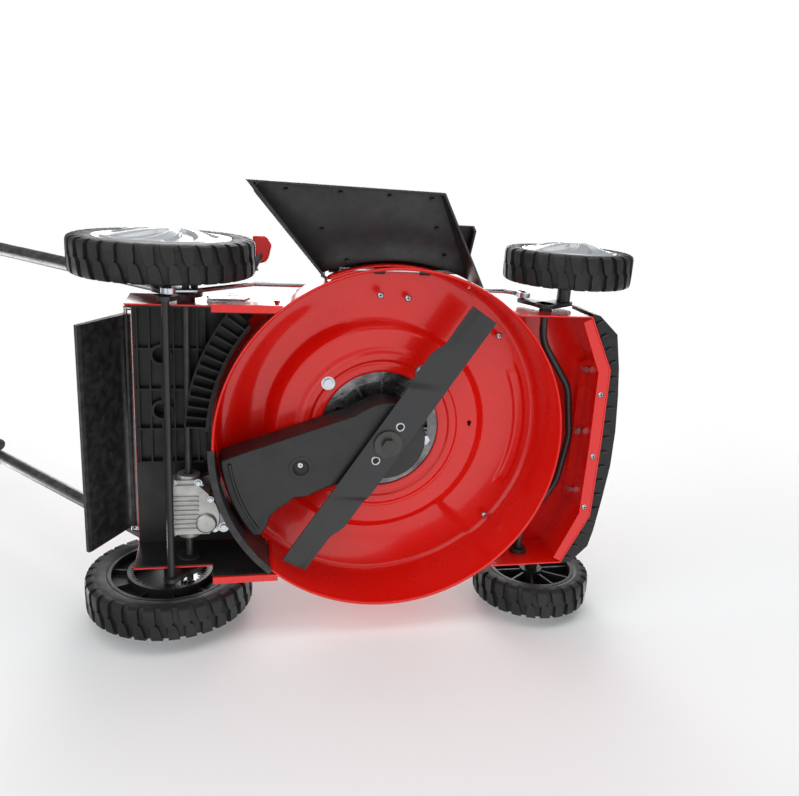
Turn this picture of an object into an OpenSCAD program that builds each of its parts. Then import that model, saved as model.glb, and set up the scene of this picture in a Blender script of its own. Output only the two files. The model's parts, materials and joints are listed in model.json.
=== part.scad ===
// Self-propelled petrol lawn mower with a pressed steel deck.
// Frame: millimetres, ground at z = 0, crankshaft axis on the Z axis,
// +X to the front, +Y to the mower's left, +Z up.

/* [Cutting deck] */
// Outer radius of the round cutting chamber
rim_r = 250.4; // [249:0.1:252]
// Height of the chamber's rim above the ground at the lowest cut
rim_z = 25; // [24:1:27]
// Height of the underside of the chamber's ceiling
ceil_z = 107; // [106:0.5:108]
// Thickness of the deck's sheet steel
sheet = 2; // [1.5:0.1:2.5]
// Radius of the hole in the ceiling under the engine
engine_hole_r = 88.6; // [86:0.1:90]
// Half width between the outer faces of the side walls
wall_y = 190; // [189:0.5:191]
// Radius of the wash hole in the ceiling
wash_r = 2.5; // [2:0.5:4]
// Height of the rear deck's top plate
rear_top_z = 140; // [136:1:144]

/* [Blade] */
// Tip to tip length of the blade
blade_len = 455; // [440:1:460]
// Width of the blade
blade_w = 50; // [44:1:52]
// Thickness of the blade
blade_t = 4; // [3:0.5:4.5]
// Direction the blade points at rest, in degrees from +X
blade_turn = -56.8; // [-60:0.1:-50]

/* [Wheels] */
// Radius of the front wheels
front_r = 92; // [91:0.5:93]
// Width of the front tyres
front_w = 48.4; // [46:0.2:49]
// Radius of the rear wheels
rear_r = 121.5; // [121:0.5:122]
// Width of the rear tyres
rear_w = 50; // [48:0.5:51]
// Distance of the front wheels' centre ahead of the crankshaft
front_x = 262; // [260:1:264]
// Distance of the rear wheels' centre from the crankshaft
rear_x = -306; // [-307:0.5:-305]
// Distance of the front tyres' outer faces from the centre plane
front_face_y = 278.2; // [277:0.1:280]
// Distance of the rear tyres' outer faces from the centre plane
rear_face_y = 271.7; // [271:0.1:273]
// How far the hub caps bulge past the tyres
cap_bulge = 12; // [8:1:14]

/* [Height adjustment] */
// Distance from the drive shaft to a rear wheel's centre
rear_arm_r = 42; // [42:1:42]
// Distance from the front axle's pivot line to a front wheel's centre
front_arm_r = 46; // [44:1:48]
// Rise of the front arms above level, in degrees
front_arm_up = 35; // [33:1:36]
// Radius of the steel wheel studs
stud_r = 6; // [5:0.5:6]

/* [Drive] */
// Module of the gear teeth
gear_m = 2; // [2:1:2]
// Teeth of the pinion on the drive shaft
pinion_n = 12; // [12:1:12]
// Teeth of the ring gear in a rear wheel
ring_n = 54; // [54:1:54]
// Radius of the drive shaft
shaft_r = 5; // [4.5:0.5:5]
// Centre of the gearbox pulley, X
gear_pulley_x = -246; // [-247:0.5:-245]
// Centre of the gearbox pulley, Y
gear_pulley_y = 86; // [84:0.5:87]
// Height of the middle of the belt
belt_z = 100; // [99:0.5:100.5]

/* [Engine] */
// Bore radius of the cylinder
bore_r = 32.5; // [30:0.5:33]
// Stroke of the piston
stroke = 42; // [40:1:44]
// Radius of the crankcase
case_r = 78; // [76:1:80]
// Height of the cylinder's axis
cyl_z = 163; // [162:1:164]
// Radius of the crankshaft
crank_r = 12.5; // [12:0.5:13]

/* [Handle] */
// Radius of the handle tubes
tube_r = 11; // [10:0.5:11]
// Length of the lower tubes
lower_len = 560; // [520:10:580]
// Length of the straight part of the upper tubes
upper_len = 430; // [400:10:450]
// Length of the flatter part of the upper tubes
grip_len = 230; // [200:10:250]
// Slope of the handle, in degrees
handle_up = 50; // [48:1:52]
// Slope of the flatter part, in degrees
grip_up = 20; // [15:1:25]

/* [Hidden] */
$fn = 64;

red = "#d01812";
black = "#1b1b1c";
zinc = "#b9bcc0";
alloy = "#c9ccd0";

// Centre of the round chamber, a little off the crankshaft
rim_c = [6, -2];
// Pivot lines of the two axles, as [x, z]
rear_pivot = [rear_x + rear_arm_r * cos(45), rear_r - rear_arm_r * sin(45)];
front_pivot = [front_x - front_arm_r * cos(front_arm_up), front_r - front_arm_r * sin(front_arm_up)];
front_in_y = front_face_y - front_w;
rear_in_y = rear_face_y - rear_w;
// Arm plates stand outside the side walls
arm_y = 197;
arm_t = 6;
bush_r = 12;
run = 0.05;
lip_x = -243;
rear_end_x = -352;
slope_y = 92;
// Cross tie of the rear arms
tie_angle = 240;
tie_r = 48;
tie = [rear_pivot[0] + tie_r * cos(tie_angle), rear_pivot[1] + tie_r * sin(tie_angle)];
// Height link: pin radii and rest angles on the rear and the front arm
link_pin_r = 3;
link_rear_r = 40;
link_front_r = 45.6;
link_rear = [rear_pivot[0] + link_rear_r * cos(240), rear_pivot[1] + link_rear_r * sin(240)];
link_front = [front_pivot[0] + link_front_r * cos(116), front_pivot[1] + link_front_r * sin(116)];
link_y = -209;
// Height lever: its direction, its top and the middle of its knob
lever_dir = [108, 163] / norm([108, 163]);
lever_top = rear_pivot + 168 * lever_dir;
knob_seat = [-169, -243, 248];
// Handle geometry: pivot, joint, bend and end, as [x, z]
grip_pivot = [-310, 152];
handle_dir = [-cos(handle_up), sin(handle_up)];
grip_dir = [-cos(grip_up), sin(grip_up)];
joint_p = grip_pivot + lower_len * handle_dir;
bend_p = joint_p + upper_len * handle_dir;
end_p = bend_p + grip_len * grip_dir;
// The bails' pivots lie a little above and a little below the tubes' axis
grip_up_dir = [sin(grip_up), cos(grip_up)];
brake_pivot = bend_p + 60 * grip_dir + 6 * grip_up_dir;
drive_pivot = bend_p + 90 * grip_dir - 6 * grip_up_dir;
lower_y = 200;
upper_y = 177;
// Side discharge
flap_hinge = [-236.5, 116];
flap_x0 = -96;
flap_x1 = 126;
// Directions of the engine's bolts and their distance from the crankshaft
engine_bolt_angles = [222, 160, -57];
engine_bolt_r = 107.6;
// Places of the oil filler, the fuel filler and the oil drain plug
oil_spot = [88, -93];
fuel_spot = [-138, -72];
drain_spot = [69.8, 16.9];
// Direction of the belt's run to the gearbox
belt_turn = atan2(gear_pulley_y, gear_pulley_x);

// ---------- helpers ----------

// Straight rod from point a to point b
module rod(a, b, r) {
    d = b - a;
    len = norm(d);
    translate(a)
        rotate([0, acos(d[2] / len), atan2(d[1], d[0])])
            cylinder(r = r, h = len);
}

// Bent rod through a list of points; each bend is a ball a little fatter than the rod
module bent_rod(points, r) {
    for (i = [0 : len(points) - 2]) rod(points[i], points[i + 1], r);
    for (i = [1 : len(points) - 2]) translate(points[i]) sphere(r = r * 1.15, $fn = 48);
}

// Cylinder along Y between y0 and y1
module pin_y(x, z, y0, y1, r) {
    translate([x, min(y0, y1), z]) rotate([-90, 0, 0]) cylinder(r = r, h = abs(y1 - y0));
}

// Prism standing on the XZ plane, between y0 and y1
module plate_y(points, y0, y1) {
    translate([0, max(y0, y1), 0]) rotate([90, 0, 0]) linear_extrude(abs(y1 - y0)) polygon(points);
}

// Box with round vertical edges, between two corners
module soft_box(a, b, r) {
    for (dx = [0, 1]) for (dy = [0, 1])
        translate([dx ? b[0] - r : a[0] + r, dy ? b[1] - r : a[1] + r, a[2]])
            cylinder(r = r, h = b[2] - a[2]);
    translate([a[0] + r, a[1], a[2]]) cube([b[0] - a[0] - 2 * r, b[1] - a[1], b[2] - a[2]]);
    translate([a[0], a[1] + r, a[2]]) cube([b[0] - a[0], b[1] - a[1] - 2 * r, b[2] - a[2]]);
}

// Flat bar of height h with round ends of radius rp and rq, between two points of the XY plane
module bar(p, q, rp, rq, h) {
    d = q - p;
    a = atan2(d[1], d[0]);
    n = [-sin(a), cos(a)];
    translate([p[0], p[1], 0]) cylinder(r = rp, h = h);
    translate([q[0], q[1], 0]) cylinder(r = rq, h = h);
    linear_extrude(h) polygon([p + rp * n, q + rq * n, q - rq * n, p - rp * n]);
}

// Points of a toothed wheel: tip and root radii, with a share of each pitch given to the tooth
function tooth_ring(n, r_root, r_tip, share_root, share_tip) = [
    for (i = [0 : n - 1]) for (k = [0 : 3])
        let (r = (k == 0 || k == 3) ? r_root : r_tip,
            w = ((k == 0 || k == 3) ? share_root : share_tip) * 180 / n,
            a = i * 360 / n + (k < 2 ? -w : w))
        [r * cos(a), r * sin(a)]
];

// Puts a wheel piece, drawn with its inner face on z = 0, on the mower's side s
module at_wheel(x, z, inner_y, s) {
    translate([x, s * inner_y, z]) rotate([-90 * s, 0, 0]) children();
}

// ---------- deck ----------

module deck_chamber() color(red) difference() {
    translate([rim_c[0], rim_c[1], 0]) rotate_extrude($fn = 128) polygon([
        [rim_r - sheet, rim_z], [rim_r, rim_z], [rim_r, rim_z + 8], [rim_r - 2, 90],
        [rim_r - 8, ceil_z - 1], [rim_r - 16, ceil_z + sheet], [60, ceil_z + sheet], [60, ceil_z],
        [rim_r - 18, ceil_z],
        [rim_r - 10, ceil_z - 3], [rim_r - 4, 90], [rim_r - 2 - sheet, rim_z + 8]
    ]);
    translate([0, 0, ceil_z - 10]) cylinder(r = engine_hole_r, h = 30);
    // side discharge opening
    translate([-88, -300, 45]) cube([200, 120, 52]);
    // rear discharge opening behind the belt cover
    translate([rim_c[0], rim_c[1], 0])
        rotate_extrude(angle = 48, start = 132)
            translate([rim_r - 26, rim_z - 1]) square([40, ceil_z - 6 - rim_z]);
    for (a = engine_bolt_angles) rotate(a) translate([engine_bolt_r, 0, 90]) cylinder(r = 4.3, h = 30);
    translate([140, -8, 90]) cylinder(r = wash_r, h = 30);
    // the belt's way out
    rotate(belt_turn) translate([215, -34, 90]) cube([60, 68, 17]);
}

apron_outer = [[120, -193], [280, -193], [319, -115], [320.5, 0], [319, 115], [280, 193], [120, 193]];
apron_inner = [[100, -191], [278.8, -191], [317, -114.6], [318.5, 0], [317, 114.6], [278.8, 191], [100, 191]];
module front_apron() color(red) difference() {
    union() {
        difference() {
            translate([0, 0, rim_z]) linear_extrude(ceil_z + sheet - rim_z) polygon(apron_outer);
            translate([0, 0, rim_z - 1]) linear_extrude(ceil_z + 1 - rim_z) polygon(apron_inner);
        }
        // bevelled flange behind the front edge
        for (s = [-1, 1]) scale([1, s, 1])
            translate([0, 0, ceil_z - 14])
                linear_extrude(15) polygon([[318.7, 0], [317.2, 114], [305, 108], [306, 0]]);
    }
    translate([rim_c[0], rim_c[1], 0]) cylinder(r = rim_r + 0.3, h = 200, $fn = 128);
    for (s = [-1, 1]) pin_y(front_pivot[0], front_pivot[1], s * 180, s * 200, 9.2);
    for (y = [-99, 0, 99]) translate([312, y, 80]) cylinder(r = 2.6, h = 40);
}

module rear_deck() color(red) difference() {
    union() {
        for (s = [-1, 1]) scale([1, s, 1]) plate_y([
            [rear_end_x, 62], [lip_x, 62], [lip_x, rim_z], [-150, rim_z],
            [-150, rear_top_z + sheet], [rear_end_x, rear_top_z + sheet]
        ], wall_y - sheet, wall_y);
        translate([rear_end_x, -wall_y + 1, rear_top_z]) cube([-150 - rear_end_x, 2 * wall_y - 2, sheet]);
        // slope down to the engine's place
        plate_y([[-152, rear_top_z], [-104, ceil_z + 5], [-104, ceil_z + 7], [-150, rear_top_z + sheet]],
            -slope_y, slope_y);
        // lips along the lower edges
        for (s = [-1, 1]) scale([1, s, 1])
            translate([lip_x, wall_y - 1, rim_z]) cube([90, 9, sheet]);
    }
    translate([rim_c[0], rim_c[1], 0]) cylinder(r = rim_r + 0.3, h = ceil_z + sheet + 0.3, $fn = 128);
    // room for the engine's base plate
    cylinder(r = 119, h = ceil_z + 13, $fn = 96);
    for (s = [-1, 1]) pin_y(rear_pivot[0], rear_pivot[1], s * 170, s * 200, bush_r + 0.2);
}

bumper_outer = [[282, -195.8], [293, -193.5], [323, -167], [333, -117], [338, -75], [342, -21], [342, 34],
    [336, 90], [329, 142], [323, 168], [299, 192.5], [282, 195.8]];
bumper_inner = [[282, 194], [320.5, 116], [322, 0], [320.5, -116], [282, -194]];
module front_bumper() color(black) {
    translate([0, 0, rim_z + 3]) linear_extrude(ceil_z - 8 - rim_z) polygon(concat(bumper_outer, bumper_inner));
}

screw_spots = [[-10.7, -202.3], [29.7, -199.1], [172.7, -146.7], [177.6, 145]];
module deck_screws() color(zinc) {
    for (p = screw_spots) translate([p[0], p[1], ceil_z - 4.2]) cylinder(r = 5, h = 4);
    for (y = [-99, 0, 99]) {
        translate([312, y, ceil_z - 18.2]) cylinder(r = 5, h = 4);
        translate([312, y, ceil_z - 14.2]) cylinder(r = 2.5, h = 20);
    }
}

module rear_tunnel() color(black) {
    // ribbed band close round the chamber
    translate([rim_c[0], rim_c[1], 62]) {
        rotate_extrude(angle = 36, start = 183) translate([253.5, 0]) square([5, 22]);
        rotate_extrude(angle = 36, start = 183) translate([253.5, 19]) square([34, 3]);
        for (a = [184 : 3 : 218]) rotate(a) translate([257, -1.2, 0]) cube([28, 2.4, 20]);
    }
    // duct plate with ribs under it and two holes
    difference() {
        union() {
            translate([rear_end_x + 4, -180, 122]) cube([96, 230, 3]);
            for (x = [-344 : 16 : -262]) translate([x, -178, 112]) cube([2.5, 226, 11]);
            for (y = [-178, -120, -62, -4, 46]) translate([rear_end_x + 6, y, 112]) cube([90, 2.5, 11]);
            for (y = [-110, -30]) translate([-312, y, 112]) cylinder(r = 15, h = 12);
        }
        for (y = [-110, -30]) translate([-312, y, 100]) cylinder(r = 11, h = 40);
    }
}

module skirt_insert() color(black) difference() {
    translate([rim_c[0], rim_c[1], 0]) {
        rotate_extrude(angle = 47.4, start = 132.3) translate([rim_r - 4, rim_z]) square([4, 78]);
        rotate_extrude(angle = 47.4, start = 132.3) translate([rim_r - 4, rim_z]) square([9, 3]);
    }
    // the belt's way out
    rotate(belt_turn) translate([200, -34, 88]) cube([90, 68, 22]);
    translate([gear_pulley_x, gear_pulley_y, 60]) cylinder(r = 30, h = 50);
}

cover_outline = [[-216.6, 20.2], [-188.4, 146.5], [-171.6, 139.4], [-142.8, 81], [-80.3, 67.6], [-20, 55.5],
    [-20, -54.4], [-48.8, -36.5]];
module belt_cover() color(black) difference() {
    intersection() {
        union() {
            translate([0, 0, 53]) cylinder(r = 58, h = 52);
            translate([0, 0, 53]) linear_extrude(52) polygon(cover_outline);
        }
        // clear of the chamber's rounded corner
        translate([rim_c[0], rim_c[1], 0]) rotate_extrude($fn = 128)
            polygon([[0, 40], [243.4, 40], [243.4, 86], [240, 95], [235, 101], [228, 106], [0, 106]]);
    }
    translate([0, 0, 56]) linear_extrude(60) offset(delta = -2.6) polygon(cover_outline);
    translate([0, 0, 50]) cylinder(r = 55, h = 70);
    translate([-121.5, 37.8, 50]) cylinder(r = 14, h = 10);
    // the belt's way out at the chamber wall
    rotate(belt_turn) translate([180, -30, 90]) cube([60, 60, 22]);
}

module gearbox_housing() color(alloy) difference() {
    union() {
        pin_y(rear_pivot[0], rear_pivot[1], 66, 142, 25);
        pin_y(rear_pivot[0], rear_pivot[1], 58, 150, 16);
        for (y = [66, 84, 102, 120, 139]) pin_y(rear_pivot[0], rear_pivot[1], y, y + 3, 29);
        soft_box([-272, 66, 68], [-228, 112, 91], 8);
        plate_y([[-262, 96], [-262, 118], [-283, 124], [-292, 118], [-292, 96]], 118, 138);
        // bracket to the chamber wall
        translate([-240, 118, 84]) cube([22, 30, 6]);
        translate([-262, 112, 78]) cube([26, 26, 12]);
    }
    pin_y(rear_pivot[0], rear_pivot[1], 50, 160, shaft_r + run);
    translate([gear_pulley_x, gear_pulley_y, 72]) cylinder(r = shaft_r + run, h = 40);
    translate([gear_pulley_x, gear_pulley_y, 91]) cylinder(r = 29, h = 40);
    translate([-226, 139, 80]) cylinder(r = 3.2, h = 20);
    // the arms' cross tie swings under the case
    difference() {
        pin_y(rear_pivot[0], rear_pivot[1], 40, 160, 70);
        pin_y(rear_pivot[0], rear_pivot[1], 39, 161, 41);
        translate([-260, 30, 66]) cube([100, 140, 100]);
    }
}

module hinge_rods() color(zinc) {
    // the rods' ends turn in and stand on the deck
    bent_rod([[flap_x0 + 4, -214, ceil_z + sheet + 3.2], [flap_x0 + 4, flap_hinge[0], flap_hinge[1]],
        [flap_x1 - 4, flap_hinge[0], flap_hinge[1]], [flap_x1 - 4, -214, ceil_z + sheet + 3.2]], 3);
    bent_rod([[rear_end_x + 8, -168, rear_top_z + sheet + 3.2], [rear_end_x - 8, -168, rear_top_z + 8],
        [rear_end_x - 8, 168, rear_top_z + 8], [rear_end_x + 8, 168, rear_top_z + sheet + 3.2]], 3);
}

module axle_bushes() color(black) {
    for (s = [-1, 1]) {
        difference() {
            union() {
                pin_y(rear_pivot[0], rear_pivot[1], s * 186, s * (arm_y + arm_t + 2), bush_r);
                pin_y(rear_pivot[0], rear_pivot[1], s * 184, s * 187.8, bush_r + 5);
            }
            pin_y(rear_pivot[0], rear_pivot[1], s * 180, s * 220, shaft_r + run);
        }
        difference() {
            union() {
                pin_y(front_pivot[0], front_pivot[1], s * 186, s * 196, 9);
                pin_y(front_pivot[0], front_pivot[1], s * 184, s * 190.8, 13);
            }
            pin_y(front_pivot[0], front_pivot[1], s * 180, s * 220, shaft_r + 0.3);
        }
    }
}

module height_quadrant() color(zinc) difference() {
    plate_y([[-250, 82], [-200, 82], [-192, 100], [-200, 128], [-236, 134], [-250, 126]], -195.4, -192.4);
    for (a = [18 : 12 : 54]) translate([rear_pivot[0], -180, rear_pivot[1]]) rotate([0, -a, 0])
        translate([48, -30, -2]) cube([24, 40, 4]);
    pin_y(rear_pivot[0], rear_pivot[1], -180, -200, 30);
}

module handle_brackets() color(black) for (s = [-1, 1]) scale([1, s, 1]) {
    difference() {
        plate_y([[-340, 142.2], [-282, 142.2], [-290, 168], [-310, 178], [-330, 168]], 181, 186);
        pin_y(grip_pivot[0], grip_pivot[1], 170, 190, 5.2);
    }
    difference() {
        translate([-340, 160, 142.2]) cube([58, 22, 4]);
        pin_y(grip_pivot[0], grip_pivot[1], 150, 181, 9.6);
    }
}

// ---------- engine ----------

module engine_block() color(alloy) difference() {
    union() {
        translate([0, 0, ceil_z + sheet + 0.2]) cylinder(r = 118, h = 9);
        translate([0, 0, ceil_z + 6]) cylinder(r = case_r, h = 92);
        translate([0, 0, ceil_z + 90]) cylinder(r = 34, h = 14);
        // cylinder barrel and its fins
        translate([40, 0, cyl_z]) rotate([0, 90, 0]) cylinder(r = 41, h = 128);
        for (x = [84 : 9 : 160]) translate([x, -50, cyl_z - 44]) cube([3, 100, 88]);
        translate([164, -48, cyl_z - 42]) cube([14, 96, 84]);
        // oil filler neck on a web
        translate([oil_spot[0], oil_spot[1], ceil_z + 14]) cylinder(r = 15, h = 65);
        rotate(atan2(oil_spot[1], oil_spot[0])) translate([60, -8, ceil_z + 14]) cube([64, 16, 40]);
    }
    translate([0, 0, ceil_z + 16]) cylinder(r = case_r - 7, h = 74);
    translate([0, 0, 90]) cylinder(r = crank_r + run, h = 130);
    // open recess under the case round the crankshaft's seal
    difference() {
        translate([0, 0, ceil_z]) cylinder(r = 74, h = 12);
        translate([0, 0, ceil_z - 1]) cylinder(r = 26, h = 14);
        for (a = [0 : 30 : 330]) rotate(a) translate([20, -1.8, ceil_z - 1]) cube([60, 3.6, 14]);
        translate([drain_spot[0], drain_spot[1], ceil_z - 1]) cylinder(r = 13, h = 14);
    }
    translate([30, 0, cyl_z]) rotate([0, 90, 0]) cylinder(r = bore_r, h = 132);
    translate([oil_spot[0], oil_spot[1], ceil_z + 21]) cylinder(r = 11, h = 70);
    translate([150, 0, cyl_z]) rotate([0, 90, 0]) cylinder(r = 7, h = 40);
    for (a = engine_bolt_angles) rotate(a) translate([engine_bolt_r, 0, 90]) cylinder(r = 4.3, h = 35);
}

module piston_and_rod() color(zinc) {
    pin_x = stroke / 2 + 88;
    difference() {
        translate([pin_x - 22, 0, cyl_z]) rotate([0, 90, 0]) cylinder(r = bore_r - run, h = 46);
        translate([pin_x - 23, 0, cyl_z]) rotate([0, 90, 0]) cylinder(r = bore_r - 5, h = 38);
    }
    translate([pin_x, 0, cyl_z - 31]) cylinder(r = 6.5, h = 62);
    translate([0, 0, cyl_z - 5]) difference() {
        bar([stroke / 2, 0], [pin_x, 0], 16, 11, 10);
        translate([stroke / 2, 0, -1]) cylinder(r = 10, h = 12);
        translate([pin_x, 0, -1]) cylinder(r = 6.6, h = 12);
    }
    translate([stroke / 2, 0, cyl_z - 5.4]) cylinder(r = 9.9, h = 10.8);
}

module engine_shroud() color(black) difference() {
    translate([0, 0, ceil_z + 101]) rotate_extrude($fn = 96) polygon([
        [108, 0], [111, 0], [111, 44], [98, 62], [70, 70], [30, 74], [30, 71], [69, 67], [96, 59], [108, 43]
    ]);
    // cooling slots
    for (a = [0 : 15 : 345]) rotate(a) translate([44, -2.4, ceil_z + 160]) cube([36, 4.8, 30]);
    // rope outlet
    translate([-116, 0, 272]) rotate([0, 90, 0]) cylinder(r = 5, h = 30);
}

module fuel_tank() color(black) difference() {
    union() {
        soft_box([-176, -108, 176], [-58, 70, 256], 22);
        translate([fuel_spot[0], fuel_spot[1], 250]) cylinder(r = 20, h = 16);
    }
    difference() {
        soft_box([-173, -105, 179], [-61, 67, 253], 19);
        translate([0, 0, 160]) cylinder(r = 117, h = 130);
    }
    translate([0, 0, 160]) cylinder(r = 114, h = 130);
    translate([fuel_spot[0], fuel_spot[1], 240]) cylinder(r = 16, h = 40);
}

module muffler() color("#8c8d90") difference() {
    union() {
        soft_box([96, 54, 134], [172, 116, 190], 14);
        translate([134, 110, 162]) rotate([-90, 0, 0]) cylinder(r = 13, h = 16);
        for (z = [142 : 8 : 182]) soft_box([94, 52, z], [174, 118, z + 2.5], 15);
    }
    translate([134, 112, 162]) rotate([-90, 0, 0]) cylinder(r = 10, h = 20);
    soft_box([98, 56, 136], [170, 108, 188], 12);
}

module air_filter_base() color(black) {
    soft_box([-50, 84, 168], [44, 104, 204], 6);
    soft_box([-62, 103.8, 150], [62, 116, 206], 6);
    // bracket to the crankcase
    translate([-20, 78.4, 172]) cube([40, 7, 18]);
    // hinge lugs below the cover
    for (x = [-30, 22]) translate([x, 0, 0]) difference() {
        union() {
            translate([0, 104.5, filter_hinge[1] - 3]) cube([8, filter_hinge[0] - 104.5, 8]);
            translate([0, filter_hinge[0], filter_hinge[1]]) rotate([0, 90, 0]) cylinder(r = 3.5, h = 8);
        }
        translate([-1, filter_hinge[0], filter_hinge[1]]) rotate([0, 90, 0]) cylinder(r = 2 + run, h = 10);
        translate([-1, 116.2, 149.8]) cube([10, 10, 10]);
    }
}

module air_filter_cover() color(black) {
    filter_shell();
    // hinge pin held by two tabs
    translate([-35, filter_hinge[0], filter_hinge[1]]) rotate([0, 90, 0]) cylinder(r = 2, h = 70);
    for (x = [-35, 31]) translate([x, filter_hinge[0] - 3, filter_hinge[1] - 3]) cube([4, 6, 10]);
}
module filter_shell() difference() {
    soft_box([-62, 116.4, 150], [62, 156, 206], 14);
    soft_box([-59, 110, 153], [59, 153, 203], 11);
    for (z = [162 : 9 : 192]) translate([-40, 150, z]) cube([80, 10, 3]);
}
// Hinge line of the air filter's cover, as [y, z]
filter_hinge = [120, 146];

module carburettor() color(alloy) {
    soft_box([50, 84, 140], [76, 103, 200], 4);
    translate([63, 93, 122]) cylinder(r = 14, h = 20);
    translate([63, 60, 166]) rotate([-90, 0, 0]) cylinder(r = 8, h = 26);
}

module spark_plug() color(zinc) {
    translate([154, 0, cyl_z]) rotate([0, 90, 0]) cylinder(r = 6.95, h = 30);
    translate([178.3, 0, cyl_z]) rotate([0, 90, 0]) cylinder(r = 10.5, h = 9, $fn = 6);
    translate([187, 0, cyl_z]) rotate([0, 90, 0]) cylinder(r = 6, h = 24);
    translate([196, 0, cyl_z]) rotate([0, 90, 0]) cylinder(r = 10, h = 30);
    translate([216, -8, cyl_z - 8]) cube([12, 16, 30]);
}

module engine_bolts() color(zinc) {
    for (a = engine_bolt_angles) rotate(a) translate([engine_bolt_r, 0, 0]) {
        translate([0, 0, ceil_z - 5.6]) cylinder(r = 7.5, h = 5.4, $fn = 6);
        translate([0, 0, ceil_z - 1.4]) cylinder(r = 10, h = 1.2);
        translate([0, 0, ceil_z - 1]) cylinder(r = 4, h = 20);
    }
    // oil drain plug under its boss
    translate([drain_spot[0], drain_spot[1], ceil_z - 4]) cylinder(r = 8, h = 6, $fn = 6);
}

module fuel_cap() color(black) translate([fuel_spot[0], fuel_spot[1], 256]) difference() {
    union() {
        translate([0, 0, 10.4]) cylinder(r = 26, h = 14);
        for (a = [0 : 30 : 330]) rotate(a) translate([25, -3, 10.4]) cube([3, 6, 12]);
        cylinder(r = 15.6, h = 12);
    }
    translate([0, 0, -1]) cylinder(r = 13, h = 12);
}

module oil_cap() color(black) translate([oil_spot[0], oil_spot[1], ceil_z + 79]) {
    translate([0, 0, 0.4]) cylinder(r = 13, h = 6);
    translate([0, 0, -54]) cylinder(r = 2.4, h = 55);
    translate([0, 0, -11]) cylinder(r = 10.6, h = 12);
    translate([-12, -3, 6]) cube([24, 6, 8]);
}

module starter_grip() color(black) {
    translate([-128, -20, 272]) rotate([-90, 0, 0]) cylinder(r = 8, h = 40);
    translate([-126, 0, 272]) rotate([0, 90, 0]) cylinder(r = 4.6, h = 16);
}

// ---------- crankshaft and blade ----------

module crankshaft() color(zinc) {
    translate([0, 0, 49]) cylinder(r = crank_r, h = cyl_z - 6 - 49);
    translate([0, 0, cyl_z + 6]) cylinder(r = crank_r, h = 76);
    for (z = [cyl_z - 14, cyl_z + 6.2]) translate([0, 0, z]) difference() {
        cylinder(r = 44, h = 7.8);
        translate([24, -50, -1]) cube([40, 20, 10]);
        translate([24, 30, -1]) cube([40, 20, 10]);
    }
}

module flywheel() color(alloy) difference() {
    union() {
        translate([0, 0, 213]) cylinder(r = 96, h = 14);
        translate([0, 0, 213]) cylinder(r = 24, h = 24);
        for (a = [0 : 20 : 340]) rotate(a) translate([52, -1.5, 226]) cube([40, 3, 18]);
    }
    translate([0, 0, 200]) cylinder(r = crank_r + 0.02, h = 60);
    for (a = [30 : 60 : 330]) rotate(a) translate([44, 0, 200]) cylinder(r = 9, h = 60);
}

module blade_adapter() color("#2a2a2c") difference() {
    union() {
        translate([0, 0, 48.2]) cylinder(r = 22, h = 46);
        translate([0, 0, 58]) cylinder(r = 52, h = 3);
        translate([0, 0, 92]) cylinder(r = 32, h = 3);
        translate([0, 0, 94.5]) cylinder(r = 23.7, h = 11);
        translate([0, 0, 104.8]) cylinder(r = 32, h = 2.4);
    }
    translate([0, 0, 40]) cylinder(r = crank_r + 0.02, h = 80);
}

module blade() color("#333436") rotate(blade_turn) difference() {
    union() {
        translate([-blade_len / 2, -blade_w / 2, 44]) cube([blade_len, blade_w, blade_t]);
        // air lifts: the trailing edges turn up towards the tips
        for (s = [0, 180]) rotate(s) translate([blade_len / 2 - 92, -blade_w / 2 + 1, 46])
            rotate([-28, 0, 0]) translate([0, -1, -2]) mirror([0, 1, 0]) translate([0, -16, 0]) cube([90, 16, 3.4]);
    }
    translate([0, 0, 30]) cylinder(r = 6.3, h = 30);
    translate([30, 0, 30]) cylinder(r = 4.5, h = 30);
    translate([-30, 0, 30]) cylinder(r = 4.5, h = 30);
}

module blade_bolt() color(zinc) {
    translate([0, 0, 34]) cylinder(r = 9.8, h = 6.5, $fn = 6);
    translate([0, 0, 40.4]) cylinder(r = 20, h = 3.4);
    translate([0, 0, 41]) cylinder(r = 6, h = 7.8);
}

// ---------- drive ----------

// Outline of a loop round both pulleys, at radius r1 on the crank's and r2 on the gearbox's
function belt_loop(r1, r2) = concat(
    [for (a = [90 : 9 : 270]) r1 * [cos(a + belt_turn), sin(a + belt_turn)]],
    [for (a = [-90 : 9 : 90]) [gear_pulley_x, gear_pulley_y] + r2 * [cos(a + belt_turn), sin(a + belt_turn)]]
);
module drive_belt() color("#151515") translate([0, 0, belt_z - 3.5]) linear_extrude(7) difference() {
    polygon(belt_loop(30.4, 23.4));
    polygon(belt_loop(24.5, 17.5));
}

module gearbox_pulley() color("#2a2a2c") translate([gear_pulley_x, gear_pulley_y, 0]) {
    translate([0, 0, 93]) cylinder(r = 25, h = 2.6);
    translate([0, 0, 95]) cylinder(r = 16.7, h = 10);
    translate([0, 0, 104.4]) cylinder(r = 25, h = 2.2);
    translate([0, 0, 73]) cylinder(r = shaft_r, h = 24);
}

module drive_shaft() color("#26272a")
    pin_y(rear_pivot[0], rear_pivot[1], -236, 236, shaft_r);

module drive_pinions() color(zinc) for (s = [-1, 1])
    translate([rear_pivot[0], s * 229, rear_pivot[1]]) rotate([90, 0, 0]) rotate(gear_turn)
        difference() {
            translate([0, 0, -6]) linear_extrude(12)
                polygon(tooth_ring(pinion_n, pinion_pitch - 2.4, pinion_pitch + 1.5, 0.58, 0.3));
            translate([0, 0, -10]) cylinder(r = shaft_r + 0.01, h = 20);
        }
pinion_pitch = gear_m * pinion_n / 2;
ring_pitch = gear_m * ring_n / 2;
// A pinion tooth points along the line from the wheel's centre through the shaft
gear_turn = -45;

// ---------- axles ----------

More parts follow.
